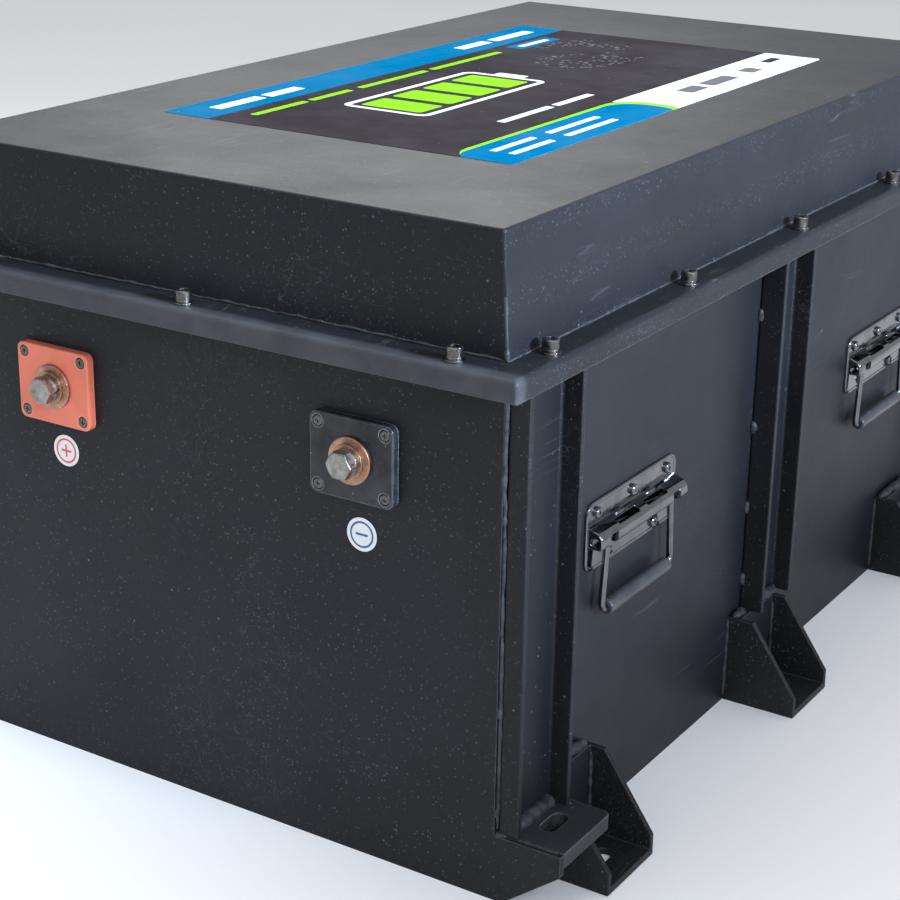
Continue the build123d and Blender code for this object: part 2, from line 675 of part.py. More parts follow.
def equipment_deck():
    """Folded sheet bridging both rows, its end flanges down over the end plates."""
    y = ROW_HALF + END_PLATE_T
    deck = block(-DECK_HALF_X, DECK_HALF_X, -y - DECK_T, y + DECK_T, DECK_Z, DECK_TOP)
    for side in (-1, 1):
        deck += block(
            -DECK_HALF_X, DECK_HALF_X, side * y, side * (y + DECK_T), DECK_Z - DECK_FLANGE_DROP, DECK_TOP,
        )
    for x in (-ROW_X + POLE_OUT, ROW_X - POLE_OUT):
        first = cell_centres()[1][0][1]
        deck -= rod_z(2 * POLE_R, DECK_Z - 1, DECK_TOP + 1, x, first)
    return deck


def battery_manager():
    """Finned electronics housing on the deck."""
    x0, x1 = MANAGER_X
    y0, y1 = MANAGER_Y
    top = DECK_TOP + MANAGER_H
    body = block(x0, x1, y0, y1, DECK_TOP, top)
    body = fillet(body.edges().filter_by(Axis.Z), MANAGER_CORNER_R)
    for n in range(MANAGER_FINS):
        x = x0 + (n + 1) * (x1 - x0) / (MANAGER_FINS + 1)
        body -= block(
            x - FIN_GROOVE_HALF, x + FIN_GROOVE_HALF, y0 + FIN_MARGIN, y1 - FIN_MARGIN,
            top - FIN_DEPTH, top + 1,
        )
    return body


def main_contactor():
    """Sealed round contactor with two studs on top."""
    x, y = CONTACTOR_X, CONTACTOR_Y
    body = rod_z(CONTACTOR_R, DECK_TOP, CONTACTOR_TOP, x, y)
    body = fillet(body.edges().sort_by(Axis.Z)[-1], CONTACTOR_TOP_R)
    ear = CONTACTOR_R + CONTACTOR_EAR
    foot_half = CONTACTOR_FOOT_HALF
    body += block(
        x - ear, x + ear, y - foot_half, y + foot_half, DECK_TOP, DECK_TOP + CONTACTOR_FOOT_T,
    )
    reach = CONTACTOR_R - BARRIER_SHORT
    body += block(
        x - BARRIER_HALF_T, x + BARRIER_HALF_T, y - reach, y + reach,
        CONTACTOR_TOP, CONTACTOR_TOP + STUD_H,
    )
    for dx in (-STUD_OUT, STUD_OUT):
        body += rod_z(STUD_R, CONTACTOR_TOP, CONTACTOR_TOP + STUD_H, x + dx, y)
    return body


def main_fuse():
    """Fuse body between two copper-plated blades on a base."""
    x, y = -TERMINAL_X, FUSE_Y
    half_x, half_y = FUSE_HALF_X, FUSE_HALF_Y
    base_top = DECK_TOP + FUSE_BASE_H
    fuse = block(x - half_x, x + half_x, y - half_y, y + half_y, DECK_TOP, base_top)
    fuse += rod_y(FUSE_BODY_R, y - half_y / 2, y + half_y / 2, x, FUSE_BLOCK_TOP)
    for s in (-1, 1):
        fuse += block(
            x - FUSE_BLOCK_HALF, x + FUSE_BLOCK_HALF, y + s * half_y / 2, y + s * half_y,
            base_top, FUSE_BLOCK_TOP,
        )
    return fuse


def flat_lead(points, x0, x1):
    """Flat bar of constant thickness following points in the YZ plane."""
    path = FilletPolyline(*[(0, py, pz) for py, pz in points], radius=2 * LEAD_T)
    start = Plane(origin=path @ 0, x_dir=(1, 0, 0), z_dir=path % 0)
    bar = sweep(start * Rectangle(x1 - x0, LEAD_T), path=path)
    return Pos((x0 + x1) / 2, 0, 0) * bar


def boss_lead(x, end_y, end_z):
    """Flat bar from a terminal boss down and back to a level end."""
    y = -LEAD_Y + LEAD_T / 2
    z_top = TERMINAL_Z + LEAD_WIDTH / 2
    points = [(y, z_top), (y, end_z + LEAD_T / 2), (end_y, end_z + LEAD_T / 2)]
    bar = flat_lead(points, x - LEAD_WIDTH / 2, x + LEAD_WIDTH / 2)
    return bar - rod_y(BOSS_SHANK_R, -LEAD_Y - 1, -END_IN + BOSS_TAIL + 1, x, TERMINAL_Z)


def cable(points):
    """Round cable with an even bend at every corner."""
    path = FilletPolyline(*points, radius=CABLE_BEND_R)
    start = Plane(origin=path @ 0, z_dir=path % 0)
    return sweep(start * Circle(CABLE_R), path=path)


def positive_leads():
    """Cell pole to contactor, contactor to fuse, and fuse to terminal boss."""
    fuse_x = -TERMINAL_X
    stud_y = CONTACTOR_Y
    stud_top = CONTACTOR_TOP + STUD_H
    over = stud_top + 2 * CABLE_BEND_R
    pole_x, pole_y = -ROW_X + POLE_OUT, cell_centres()[-1][0][1]
    near_x, far_x = CONTACTOR_X + STUD_OUT, CONTACTOR_X - STUD_OUT
    block_y = FUSE_Y + 0.75 * FUSE_HALF_Y
    pole_cable = cable([
        (pole_x, pole_y, POLE_TOP), (pole_x, pole_y, over),
        (near_x, stud_y, over), (near_x, stud_y, stud_top),
    ])
    fuse_cable = cable([
        (far_x, stud_y, stud_top), (far_x, stud_y, over),
        (fuse_x, block_y, over), (fuse_x, block_y, FUSE_BLOCK_TOP),
    ])
    return group([pole_cable, fuse_cable, boss_lead(fuse_x, FUSE_Y - FUSE_HALF_Y / 2, FUSE_BLOCK_TOP)])


def negative_leads():
    """Cell pole to the manager, and the manager to the terminal boss."""
    manager_y = MANAGER_Y[0]
    pole_x, pole_y = ROW_X - POLE_OUT, cell_centres()[1][0][1]
    level = DECK_TOP + MANAGER_H / 2
    pole_cable = cable([
        (pole_x, pole_y, POLE_TOP), (pole_x, pole_y, level), (pole_x, manager_y, level),
    ])
    return group([pole_cable, boss_lead(TERMINAL_X, manager_y, DECK_TOP + LEAD_END_LIFT)])


# ---------------------------------------------------------------- every node
def all_nodes():
    nodes = {
        "floor_plate": floor_plate(),
        "front_wall": front_wall(),
        "rear_wall": rear_wall(),
        "right_wall": side_wall(),
        "left_wall": across(side_wall()),
        "rim_frame": rim_frame(),
        "lid": lid(),
        "lid_gasket": lid_gasket(),
        "lid_screws": lid_screws(),
        "lid_spring_washers": lid_spring_washers(),
        "lid_flat_washers": lid_flat_washers(),
        "lid_nuts": lid_nuts(),
        "positive_insulator": insulator(-TERMINAL_X),
        "negative_insulator": insulator(TERMINAL_X),
        "insulator_screws": insulator_screws(),
        "positive_boss": boss(-TERMINAL_X),
        "negative_boss": boss(TERMINAL_X),
        "terminal_spring_washers": terminal_spring_washers(),
        "terminal_bolts": terminal_bolts(),
        "plus_sticker": sticker(PLUS_STICKER),
        "minus_sticker": sticker(MINUS_STICKER),
        "top_label": top_label(),
        "handle_screws": handle_screws(),
        "battery_cells": battery_cells(),
        "cell_frames": cell_frames(),
        "cell_busbars": cell_busbars(),
        "equipment_deck": equipment_deck(),
        "battery_manager": battery_manager(),
        "main_contactor": main_contactor(),
        "main_fuse": main_fuse(),
        "positive_leads": positive_leads(),
        "negative_leads": negative_leads(),
    }
    post, tie_down = corner_post(), lug()
    for side in SIDES:
        for end in ENDS:
            nodes[f"corner_post_{end}_{side}"] = placed(post, side, end)
            nodes[f"lug_{end}_{side}"] = placed(tie_down, side, end)
    feet = {"front": front_foot(), "middle": foot(FOOT_Y[1]), "rear": foot(FOOT_Y[2])}
    on_side = {"middle_rib": middle_rib()}
    on_side.update({f"foot_{place}": shape for place, shape in feet.items()})
    for place, y in zip(ENDS, HANDLE_Y):
        on_side[f"handle_plate_{place}"] = handle_plate(y)
        on_side[f"handle_bail_{place}"] = handle_bail(y)
        on_side[f"handle_grip_{place}"] = handle_grip(y)
    for name, shape in on_side.items():
        nodes[f"{name}_right"] = shape
        nodes[f"{name}_left"] = across(shape)
    return nodes


os.makedirs("parts", exist_ok=True)
for node_name, node_shape in all_nodes().items():
    export_step(node_shape, f"parts/{node_name}.step")
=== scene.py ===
import bpy
import json
import random
from math import atan2, cos, pi, radians, sin
from mathutils import Matrix, Vector


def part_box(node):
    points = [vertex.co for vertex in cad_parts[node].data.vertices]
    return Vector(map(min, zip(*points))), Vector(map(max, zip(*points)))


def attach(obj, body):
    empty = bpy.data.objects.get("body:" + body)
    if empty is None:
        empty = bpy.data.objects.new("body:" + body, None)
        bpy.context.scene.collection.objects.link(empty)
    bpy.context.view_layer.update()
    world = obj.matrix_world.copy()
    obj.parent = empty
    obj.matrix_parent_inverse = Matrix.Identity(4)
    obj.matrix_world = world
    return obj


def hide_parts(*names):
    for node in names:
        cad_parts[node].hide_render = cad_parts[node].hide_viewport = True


# Steel battery box: satin black coated steelwork, weld beads, chrome drop handles, copper
# terminals on moulded plates and a printed label on the lid.  Metres, +Z up.

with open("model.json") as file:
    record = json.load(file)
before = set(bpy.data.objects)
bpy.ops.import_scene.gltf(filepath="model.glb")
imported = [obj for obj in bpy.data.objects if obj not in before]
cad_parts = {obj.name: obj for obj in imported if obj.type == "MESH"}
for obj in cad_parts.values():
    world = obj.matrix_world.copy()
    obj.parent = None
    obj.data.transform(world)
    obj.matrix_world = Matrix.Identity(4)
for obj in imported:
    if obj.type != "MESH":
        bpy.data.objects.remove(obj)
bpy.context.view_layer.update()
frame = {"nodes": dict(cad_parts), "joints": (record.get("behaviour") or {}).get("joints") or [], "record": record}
bpy.ops.object.select_all(action="DESELECT")

MM = 0.001
SIDES = {"right": 1, "left": -1}
ENDS = {"front": -1, "rear": 1}
PLACES = ("front", "middle", "rear")

NODES = frame["nodes"]
JOINTS = {joint["child"]: joint for joint in frame["joints"]}


# ---------------------------------------------------------------- finishes
class Finish:
    """One material, with short calls for the nodes that drive its shader."""

    def __init__(self, name):
        self.material = bpy.data.materials.new(name)
        self.material.use_nodes = True
        self.tree = self.material.node_tree
        self.shader = self.tree.nodes["Principled BSDF"]
        self.place = self.tree.nodes.new("ShaderNodeTexCoord").outputs["Object"]

    def feed(self, socket, value):
        if isinstance(value, bpy.types.NodeSocket):
            self.tree.links.new(value, socket)
        else:
            socket.default_value = value

    def node(self, kind, inputs, out=0, **settings):
        made = self.tree.nodes.new(kind)
        for key, value in settings.items():
            setattr(made, key, value)
        for key, value in inputs.items():
            self.feed(made.inputs[key], value)
        return made.outputs[out]

    def set(self, **values):
        for key, value in values.items():
            self.feed(self.shader.inputs[key.replace("_", " ")], value)

    def shifted(self, centre=(0, 0, 0), stretch=(1, 1, 1), turn=(0, 0, 0)):
        """Object coordinates measured from a centre, turned and stretched."""
        moved = self.vector("SUBTRACT", self.place, centre)
        return self.node("ShaderNodeMapping", {"Vector": moved, "Scale": stretch, "Rotation": turn})

    def vector(self, operation, a, b=(0, 0, 0), out=0):
        return self.node("ShaderNodeVectorMath", {0: a, 1: b}, out, operation=operation)

    def maths(self, operation, a, b=0.0):
        return self.node("ShaderNodeMath", {0: a, 1: b}, operation=operation)

    def times(self, a, b):
        return self.maths("MULTIPLY", a, b)

    def noise(self, scale, detail=3.0, roughness=0.5, place=None):
        inputs = {"Vector": place or self.place, "Scale": scale, "Detail": detail, "Roughness": roughness}
        return self.node("ShaderNodeTexNoise", inputs)

    def cells(self, scale, out="Distance", place=None):
        return self.node("ShaderNodeTexVoronoi", {"Vector": place or self.place, "Scale": scale}, out)

    def level(self, value, low, high, at_low=0.0, at_high=1.0):
        """Straight ramp between two levels, held flat past both."""
        inputs = {"Value": value, "From Min": low, "From Max": high, "To Min": at_low, "To Max": at_high}
        return self.node("ShaderNodeMapRange", inputs)

    def mix(self, share, below, above):
        return self.node(
            "ShaderNodeMix", {"Factor": share, "A": below, "B": above}, "Result", data_type="RGBA")

    def edges(self, radius):
        """0 on flat ground, rising towards 1 at folded and cut edges."""
        rounded = self.node("ShaderNodeBevel", {"Radius": radius}, samples=4)
        true = self.node("ShaderNodeNewGeometry", {}, "Normal")
        across = self.vector("DOT_PRODUCT", rounded, true, "Value")
        return self.level(across, 0.995, 0.8)

    def relief(self, height, depth, rounding=None):
        """Bump of a real depth in metres, over edges softened by a small radius."""
        inputs = {"Height": height, "Strength": 1.0, "Distance": depth}
        if rounding:
            inputs["Normal"] = self.node("ShaderNodeBevel", {"Radius": rounding}, samples=4)
        self.set(Normal=self.node("ShaderNodeBump", inputs))


# Mix nodes hold several sockets of one name, so colours are reached by number.
COLOUR_MIX = {"Factor": 0, "A": 6, "B": 7}


def colour_mix(finish, share, below, above):
    made = finish.tree.nodes.new("ShaderNodeMix")
    made.data_type = "RGBA"
    for key, value in (("Factor", share), ("A", below), ("B", above)):
        finish.feed(made.inputs[COLOUR_MIX[key]], value)
    return made.outputs[2]


Finish.mix = colour_mix


def rgb(red, green, blue):
    return (red, green, blue, 1.0)


def grey(value):
    return rgb(value, value, value)


def speckle(finish, scale, size, share):
    """Sparse round specks of uneven brightness: up to 1 on a speck, 0 between."""
    cell = finish.tree.nodes.new("ShaderNodeTexVoronoi")
    cell.inputs["Scale"].default_value = scale
    finish.feed(cell.inputs["Vector"], finish.place)
    draw = finish.node("ShaderNodeSeparateXYZ", {"Vector": cell.outputs["Color"]}, "X")
    width = finish.level(draw, 1.0 - share, 1.0, size * 0.35, size)
    dot = finish.maths("LESS_THAN", cell.outputs["Distance"], width)
    return finish.times(dot, finish.level(draw, 1.0 - share, 1.0, 0.0, 1.0))


def scratches(finish, turn, scale, fineness):
    """Thin straight marks along one direction."""
    place = finish.shifted(stretch=(1, 0.035, 1), turn=turn)
    warped = finish.noise(scale, 2.0, 0.5, place)
    line = finish.level(finish.maths("ABSOLUTE", finish.maths("SUBTRACT", warped, 0.5)), fineness, 0.0)
    patch = finish.level(finish.noise(9.0, 2.0), 0.52, 0.66)
    return finish.times(line, patch)


def powder_coat(name):
    """Satin black coating: fine grain, pale specks, cloudy handling marks, edges rubbed and lightened as a painted
    highlight, and the lip's end faces lightened as painted light.
    """
    f = Finish(name)
    cloud = f.noise(5.0, 5.0, 0.6)
    grain = f.noise(1400.0, 2.0, 0.6)
    peel = f.noise(420.0, 2.0, 0.5)
    base = f.mix(f.level(cloud, 0.35, 0.7), rgb(0.0055, 0.0061, 0.0078), rgb(0.0108, 0.0119, 0.015))
    base = f.mix(f.level(grain, 0.45, 0.8, 0.0, 0.3), base, rgb(0.034, 0.0365, 0.043))
    dusty = f.level(f.noise(7.0, 4.0, 0.65), 0.36, 0.66, 0.35, 1.0)
    fine = f.times(speckle(f, 520.0, 0.3, 0.4), dusty)
    specks = f.maths("MAXIMUM", fine, speckle(f, 210.0, 0.17, 0.14))
    base = f.mix(f.times(specks, 0.7), base, rgb(0.12, 0.127, 0.145))
    marks = f.maths("MAXIMUM", scratches(f, (0, 0.3, 0.7), 60.0, 0.004), scratches(f, (0.5, 0, -0.4), 45.0, 0.003))
    base = f.mix(f.times(marks, 0.35), base, rgb(0.13, 0.135, 0.15))
    # Painted light: the lid lip's front and rear end faces are lightened, standing in for light falling on them.
    band = box_mask(f, (0, 0, 338 * MM), (0, 0, 9 * MM), 0.5 * MM)
    across = f.node("ShaderNodeSeparateXYZ", {"Vector": f.vector("ABSOLUTE", f.place)}, "Y")
    painted_light_lip_end = f.times(band, f.level(across, 390 * MM, 396 * MM))
    base = f.mix(f.times(painted_light_lip_end, f.level(f.noise(30.0, 4.0, 0.6), 0.3, 0.6, 0.5, 1.0)), base, rgb(0.05, 0.0525, 0.058))
    # Edges lighter: partly rubbed wear, partly a painted highlight along the rounded edges.
    rubbed_edge_and_highlight = f.times(f.edges(1.1 * MM), f.level(f.noise(70.0, 4.0, 0.7), 0.3, 0.62, 0.25, 1.0))
    base = f.mix(f.times(rubbed_edge_and_highlight, 0.55), base, rgb(0.17, 0.175, 0.19))
    rough = f.level(f.noise(11.0, 5.0, 0.65), 0.3, 0.75, 0.42, 0.56)
    f.set(Base_Color=base, Roughness=f.maths("SUBTRACT", rough, f.times(rubbed_edge_and_highlight, 0.08)))
    f.set(Specular_IOR_Level=0.2)
    height = f.maths("ADD", f.maths("ADD", f.times(grain, 0.45), peel), f.times(specks, 1.5))
    f.relief(height, 0.035 * MM, 0.7 * MM)
    return f.material


def flame_cut(name):
    """The same coating over the rough, striped edge that a cutting torch leaves."""
    f = Finish(name)
    grain = f.noise(1400.0, 2.0, 0.6)
    base = f.mix(f.level(f.noise(6.0, 5.0), 0.35, 0.7), rgb(0.0125, 0.0135, 0.0165), rgb(0.022, 0.0235, 0.0275))
    specks = f.maths("MAXIMUM", speckle(f, 190.0, 0.16, 0.25), speckle(f, 90.0, 0.1, 0.2))
    base = f.mix(f.times(specks, 0.45), base, rgb(0.24, 0.25, 0.27))
    normal = f.node("ShaderNodeNewGeometry", {}, "Normal")
    upright = f.node("ShaderNodeSeparateXYZ", {"Vector": f.vector("ABSOLUTE", normal)}, "Z")
    cut = f.level(upright, 0.5, 0.3)
    stripes = f.noise(330.0, 3.0, 0.6, f.shifted(stretch=(1, 1, 0.12)))
    height = f.maths("ADD", f.times(grain, 0.05), f.times(stripes, cut))
    # Edges lighter: partly rubbed wear, partly a painted highlight along the cut edges.
    rubbed_edge_and_highlight = f.times(f.edges(1.6 * MM), f.level(f.noise(80.0, 4.0, 0.7), 0.25, 0.55, 0.35, 1.0))
    base = f.mix(f.times(rubbed_edge_and_highlight, 0.7), base, rgb(0.19, 0.2, 0.22))
    f.set(Base_Color=base, Roughness=f.level(stripes, 0.3, 0.7, 0.4, 0.6), Specular_IOR_Level=0.42)
    f.relief(height, 0.9 * MM, 0.8 * MM)
    return f.material


def weld_paint(name):
    """Coating on a weld bead, lighter and darker in random patches."""
    f = Finish(name)
    patch = f.level(f.noise(160.0, 4.0, 0.7), 0.35, 0.62)
    base = f.mix(patch, rgb(0.009, 0.01, 0.012), rgb(0.042, 0.045, 0.05))
    f.set(Base_Color=base, Roughness=f.level(f.noise(300.0), 0.3, 0.7, 0.42, 0.62), Specular_IOR_Level=0.25)
    f.relief(f.noise(600.0, 4.0, 0.6), 0.15 * MM)
    return f.material


def chrome(name):
    """Chrome plate with faint haze, pits and fingerprints; its colour is darkened overall as a painted reflection of
    dark surroundings, and the haze patches add darker painted reflection.
    """
    f = Finish(name)
    haze_and_dark_reflection = f.level(f.noise(55.0, 4.0, 0.7), 0.4, 0.75)
    pits = speckle(f, 500.0, 0.22, 0.25)
    # Painted reflection: the plate's colour is kept dark, and darker still in the haze patches, standing in for dark
    # surroundings mirrored in it; the haze also roughens it.
    base = f.mix(haze_and_dark_reflection, rgb(0.2, 0.208, 0.225), rgb(0.13, 0.137, 0.15))
    base = f.mix(f.times(pits, 0.6), base, rgb(0.2, 0.18, 0.16))
    f.set(Base_Color=base, Metallic=1.0, Roughness=f.level(haze_and_dark_reflection, 0.0, 1.0, 0.07, 0.24))
    f.relief(f.noise(150.0, 2.0, 0.5), 0.12 * MM, 0.4 * MM)
    return f.material


def plated_steel(name, bright=0.5):
    """Zinc-plated fastener steel: blotched, lightly stained, with turned marks."""
    f = Finish(name)
    blotch = f.level(f.noise(190.0, 4.0, 0.65), 0.35, 0.7)
    base = f.mix(blotch, rgb(bright, bright * 0.97, bright * 0.92), rgb(bright * 0.5, bright * 0.46, bright * 0.42))
    # Painted highlight: the edges are lightened towards pale grey.
    base = f.mix(f.times(f.edges(0.35 * MM), 0.6), base, grey(0.8))
    f.set(Base_Color=base, Metallic=1.0, Roughness=f.level(f.noise(400.0, 3.0), 0.3, 0.7, 0.22, 0.42))
    f.relief(f.noise(900.0, 2.0, 0.6), 0.04 * MM, 0.25 * MM)
    return f.material


def turned_copper(name):
    """Copper with lathe rings about its own axis and a brown tarnish in patches."""
    f = Finish(name)
    node_x = f.node("ShaderNodeSeparateXYZ", {"Vector": f.place}, "X")
    side = f.maths("SIGN", node_x)
    centre = f.node("ShaderNodeCombineXYZ", {"X": f.times(side, TERMINAL_X), "Y": 0.0, "Z": TERMINAL_Z})
    flat = f.vector("MULTIPLY", f.vector("SUBTRACT", f.place, centre), (1, 0, 1))
    radius = f.vector("LENGTH", flat, out="Value")
    rings = f.maths("SINE", f.times(radius, 2 * pi / (0.45 * MM)))
    tarnish = f.level(f.noise(120.0, 4.0, 0.7), 0.38, 0.68)
    base = f.mix(tarnish, rgb(0.46, 0.27, 0.19), rgb(0.27, 0.155, 0.11))
    # Painted highlight: the edges are lightened towards pale copper.
    base = f.mix(f.times(f.edges(0.5 * MM), 0.5), base, rgb(0.66, 0.47, 0.38))
    f.set(Base_Color=base, Metallic=1.0, Roughness=f.level(tarnish, 0.0, 1.0, 0.24, 0.4))
    f.relief(rings, 0.02 * MM, 0.3 * MM)
    return f.material


def moulded(name, pale, dark, edge, roughness, edge_share, specular=0.5):
    """Moulded plastic: slight mottle, moulding texture and paler edges, partly rubbed wear and partly a painted
    highlight.
    """
    f = Finish(name)
    base = f.mix(f.level(f.noise(38.0, 5.0, 0.6), 0.35, 0.68), pale, dark)
    # Edges paler: partly rubbed wear, partly a painted highlight; the edge colour and its share set how bright it is.
    rubbed_edge_and_highlight = f.times(f.edges(1.5 * MM), f.level(f.noise(140.0, 4.0, 0.7), 0.3, 0.6, 0.35, 1.0))
    marks = f.maths("MAXIMUM", scratches(f, (0, 0.4, 0), 130.0, 0.006), speckle(f, 260.0, 0.15, 0.12))
    base = f.mix(f.maths("MAXIMUM", f.times(rubbed_edge_and_highlight, edge_share), f.times(marks, edge_share * 0.6)), base, edge)
    f.set(Base_Color=base, Roughness=f.level(f.noise(60.0, 4.0), 0.3, 0.7, roughness, roughness + 0.14))
    f.set(Specular_IOR_Level=specular)
    f.relief(f.noise(700.0, 3.0, 0.6), 0.03 * MM, 0.5 * MM)
    return f.material


def sleeve(name):
    """Soft satin sleeve on a handle's bar, with faint pale specks."""
    f = Finish(name)
    base = f.mix(f.level(f.noise(70.0, 4.0, 0.6), 0.35, 0.7), rgb(0.022, 0.024, 0.028), rgb(0.045, 0.048, 0.055))
    base = f.mix(f.times(speckle(f, 420.0, 0.2, 0.3), 0.3), base, rgb(0.25, 0.26, 0.28))
    f.set(Base_Color=base, Roughness=f.level(f.noise(120.0), 0.3, 0.7, 0.3, 0.42))
    f.relief(f.noise(1100.0, 2.0), 0.03 * MM)
    return f.material


def rubber(name):
    f = Finish(name)
    base = f.mix(f.level(f.noise(90.0, 4.0, 0.6), 0.35, 0.7), grey(0.012), grey(0.026))
    f.set(Base_Color=base, Roughness=f.level(f.noise(200.0), 0.3, 0.7, 0.6, 0.8))
    f.relief(f.noise(900.0, 2.0), 0.05 * MM)
    return f.material


def metal(name, colour, stretch):
    """Milled or drawn metal with its grain along one direction."""
    f = Finish(name)
    grain = f.noise(500.0, 3.0, 0.6, f.shifted(stretch=stretch))
    dark = tuple(0.7 * c for c in colour[:3]) + (1.0,)
    f.set(Base_Color=f.mix(f.level(grain, 0.3, 0.7), dark, colour), Metallic=1.0)
    f.set(Roughness=f.level(grain, 0.3, 0.7, 0.28, 0.45))
    f.relief(grain, 0.03 * MM)
    return f.material


# ---------------------------------------------------------------- printed films
def box_mask(f, centre, half, corner):
    """1 inside a rounded rectangle given on two axes; an axis with no size is left out."""
    inner = tuple(h - corner if h else 1.0 for h in half)
    off = f.vector("ABSOLUTE", f.vector("SUBTRACT", f.place, centre))
    past = f.vector("MAXIMUM", f.vector("SUBTRACT", off, inner), (0, 0, 0))
    distance = f.vector("LENGTH", past, out="Value")
    return f.level(distance, corner + 0.15 * MM, corner - 0.15 * MM)


def flat_box(f, x, y, half_x, half_y, corner=1.2):
    """Rounded rectangle on the lid's top, in millimetres."""
    return box_mask(f, (x * MM, y * MM, 0), (half_x * MM, half_y * MM, 0), corner * MM)


BLUE = rgb(0.0, 0.125, 0.26)
LIME = rgb(0.2, 0.48, 0.012)
WHITE = rgb(0.62, 0.63, 0.63)
FIELD = rgb(0.034, 0.028, 0.0305)
PALE_INK = rgb(0.12, 0.12, 0.12)


def label_print(name):
    """Generic battery label: blue bands, dark field, battery pictogram, plain bars for lines."""
    f = Finish(name)
    ink = FIELD
    layers = [(flat_box(f, 115, 120, 27, 140, 0.5), WHITE)]
    layers.append((flat_box(f, 118, -124, 30, 117, 26), LIME))
    layers.append((flat_box(f, 119, -130, 27, 115, 24), BLUE))
    layers.append((flat_box(f, -123, 0, 21, 260, 0.5), BLUE))
    for y, half in ((-182, 26), (-130, 20), (128, 22), (188, 30)):
        layers.append((flat_box(f, -121, y, 5.5, half), WHITE))
    for y, half in ((-180, 30), (-120, 24), (-40, 44), (62, 50)):
        layers.append((flat_box(f, -86, y, 3.2, half), LIME))
    layers.append((flat_box(f, -87, 168, 8, 32, 2), BLUE))
    layers.append((flat_box(f, -87, 168, 3, 22), WHITE))
    layers.append((flat_box(f, -24, -62, 36, 84, 9), WHITE))
    layers.append((flat_box(f, -24, -62, 31, 79, 5), FIELD))
    layers.append((flat_box(f, -24, 27, 13, 5, 2), WHITE))
    for bar in range(4):
        layers.append((flat_box(f, -24, -121 + 39 * bar, 25, 15, 3), LIME))
    for y, half in ((-96, 34), (-30, 26)):
        layers.append((flat_box(f, 62, y, 3.4, half), WHITE))
    for x in (106, 120):
        for y, half in ((-186, 26), (-108, 34)):
            layers.append((flat_box(f, x, y, 2.8, half), WHITE))
    for y, half in ((60, 14), (104, 22), (160, 10)):
        layers.append((flat_box(f, 112, y, 7, half, 3), PALE_INK))
    layers.append((flat_box(f, 106, 212, 4.5, 12, 2), rgb(0.02, 0.02, 0.03)))
    for mask, colour in layers:
        ink = f.mix(mask, ink, colour)
    dots = f.level(f.cells(1 / (5.5 * MM), "Distance"), 0.36, 0.3)
    patch = f.times(flat_box(f, -28, 150, 48, 72, 46), f.level(f.noise(22.0, 2.0), 0.47, 0.49))
    ink = f.mix(f.times(dots, patch), ink, PALE_INK)
    dust = f.level(f.noise(9.0, 6.0, 0.7), 0.4, 0.8, 0.0, 0.07)
    ink = f.mix(f.maths("MAXIMUM", dust, f.times(speckle(f, 120.0, 0.1, 0.15), 0.3)), ink, grey(0.4))
    f.set(Base_Color=ink, Roughness=f.level(f.noise(14.0, 4.0), 0.3, 0.7, 0.5, 0.62))
    f.set(Specular_IOR_Level=0.0)
    f.relief(f.noise(500.0, 2.0), 0.01 * MM)
    return f.material


def polarity_print(name, centre, colour, upright):
    """White disc with a thin ring and a plus or a minus."""
    f = Finish(name)
    local = f.shifted(centre)
    flat = f.vector("MULTIPLY", local, (1, 0, 1))
    radius = f.vector("LENGTH", flat, out="Value")
    ring = f.level(f.maths("ABSOLUTE", f.maths("SUBTRACT", radius, 7.9 * MM)), 0.75 * MM, 0.55 * MM)
    bar = box_mask(f, centre, (4.4 * MM, 0, 0.75 * MM), 0.3 * MM)
    mark = f.maths("MAXIMUM", ring, bar)
    if upright:
        mark = f.maths("MAXIMUM", mark, box_mask(f, centre, (0.75 * MM, 0, 4.4 * MM), 0.3 * MM))
    paper = f.mix(f.level(f.noise(150.0, 4.0), 0.35, 0.75), WHITE, grey(0.66))
    f.set(Base_Color=f.mix(mark, paper, colour), Roughness=f.level(f.noise(300.0), 0.3, 0.7, 0.35, 0.5))
    f.relief(f.noise(900.0, 2.0), 0.01 * MM)
    return f.material


def cell_wrap(name):
    f = Finish(name)
    base = f.mix(f.level(f.noise(25.0, 3.0), 0.35, 0.7), rgb(0.02, 0.1, 0.33), rgb(0.03, 0.14, 0.42))
    f.set(Base_Color=base, Roughness=f.level(f.noise(80.0), 0.3, 0.7, 0.3, 0.45))
    f.relief(f.noise(200.0, 3.0), 0.05 * MM)
    return f.material


def middle_of(node):
    low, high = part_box(node)
    return (low + high) / 2


TERMINAL_X = middle_of("negative_boss").x
TERMINAL_Z = middle_of("negative_boss").z

PAINT = powder_coat("black_powder_coat")
CUT_EDGE = flame_cut("flame_cut_plate")
WELD = weld_paint("painted_weld")
CHROME = chrome("bright_chrome")
SCREW_STEEL = plated_steel("zinc_plate", 0.15)
BOLT_STEEL = plated_steel("bolt_steel", 0.36)
COPPER = turned_copper("turned_copper")
# The third colour of each moulding is its edge colour: rubbed wear and painted highlight together.
RED_MOULDING = moulded("terracotta_moulding", rgb(0.7, 0.17, 0.1), rgb(0.6, 0.14, 0.08), rgb(0.9, 0.42, 0.3), 0.34, 0.6)
BLACK_MOULDING = moulded("black_moulding", rgb(0.004, 0.0045, 0.006), rgb(0.03, 0.032, 0.038), rgb(0.34, 0.36, 0.42), 0.08, 0.9, 0.3)
GREY_MOULDING = moulded("grey_moulding", grey(0.12), grey(0.16), grey(0.3), 0.45, 0.4)
SLEEVE = sleeve("handle_sleeve")
RUBBER = rubber("gasket_rubber")
ALUMINIUM = metal("milled_aluminium", rgb(0.7, 0.71, 0.73), (1, 0.05, 1))
BUSBAR = metal("copper_bar", rgb(0.8, 0.42, 0.26), (1, 0.05, 1))
CELL_WRAP = cell_wrap("cell_wrap")
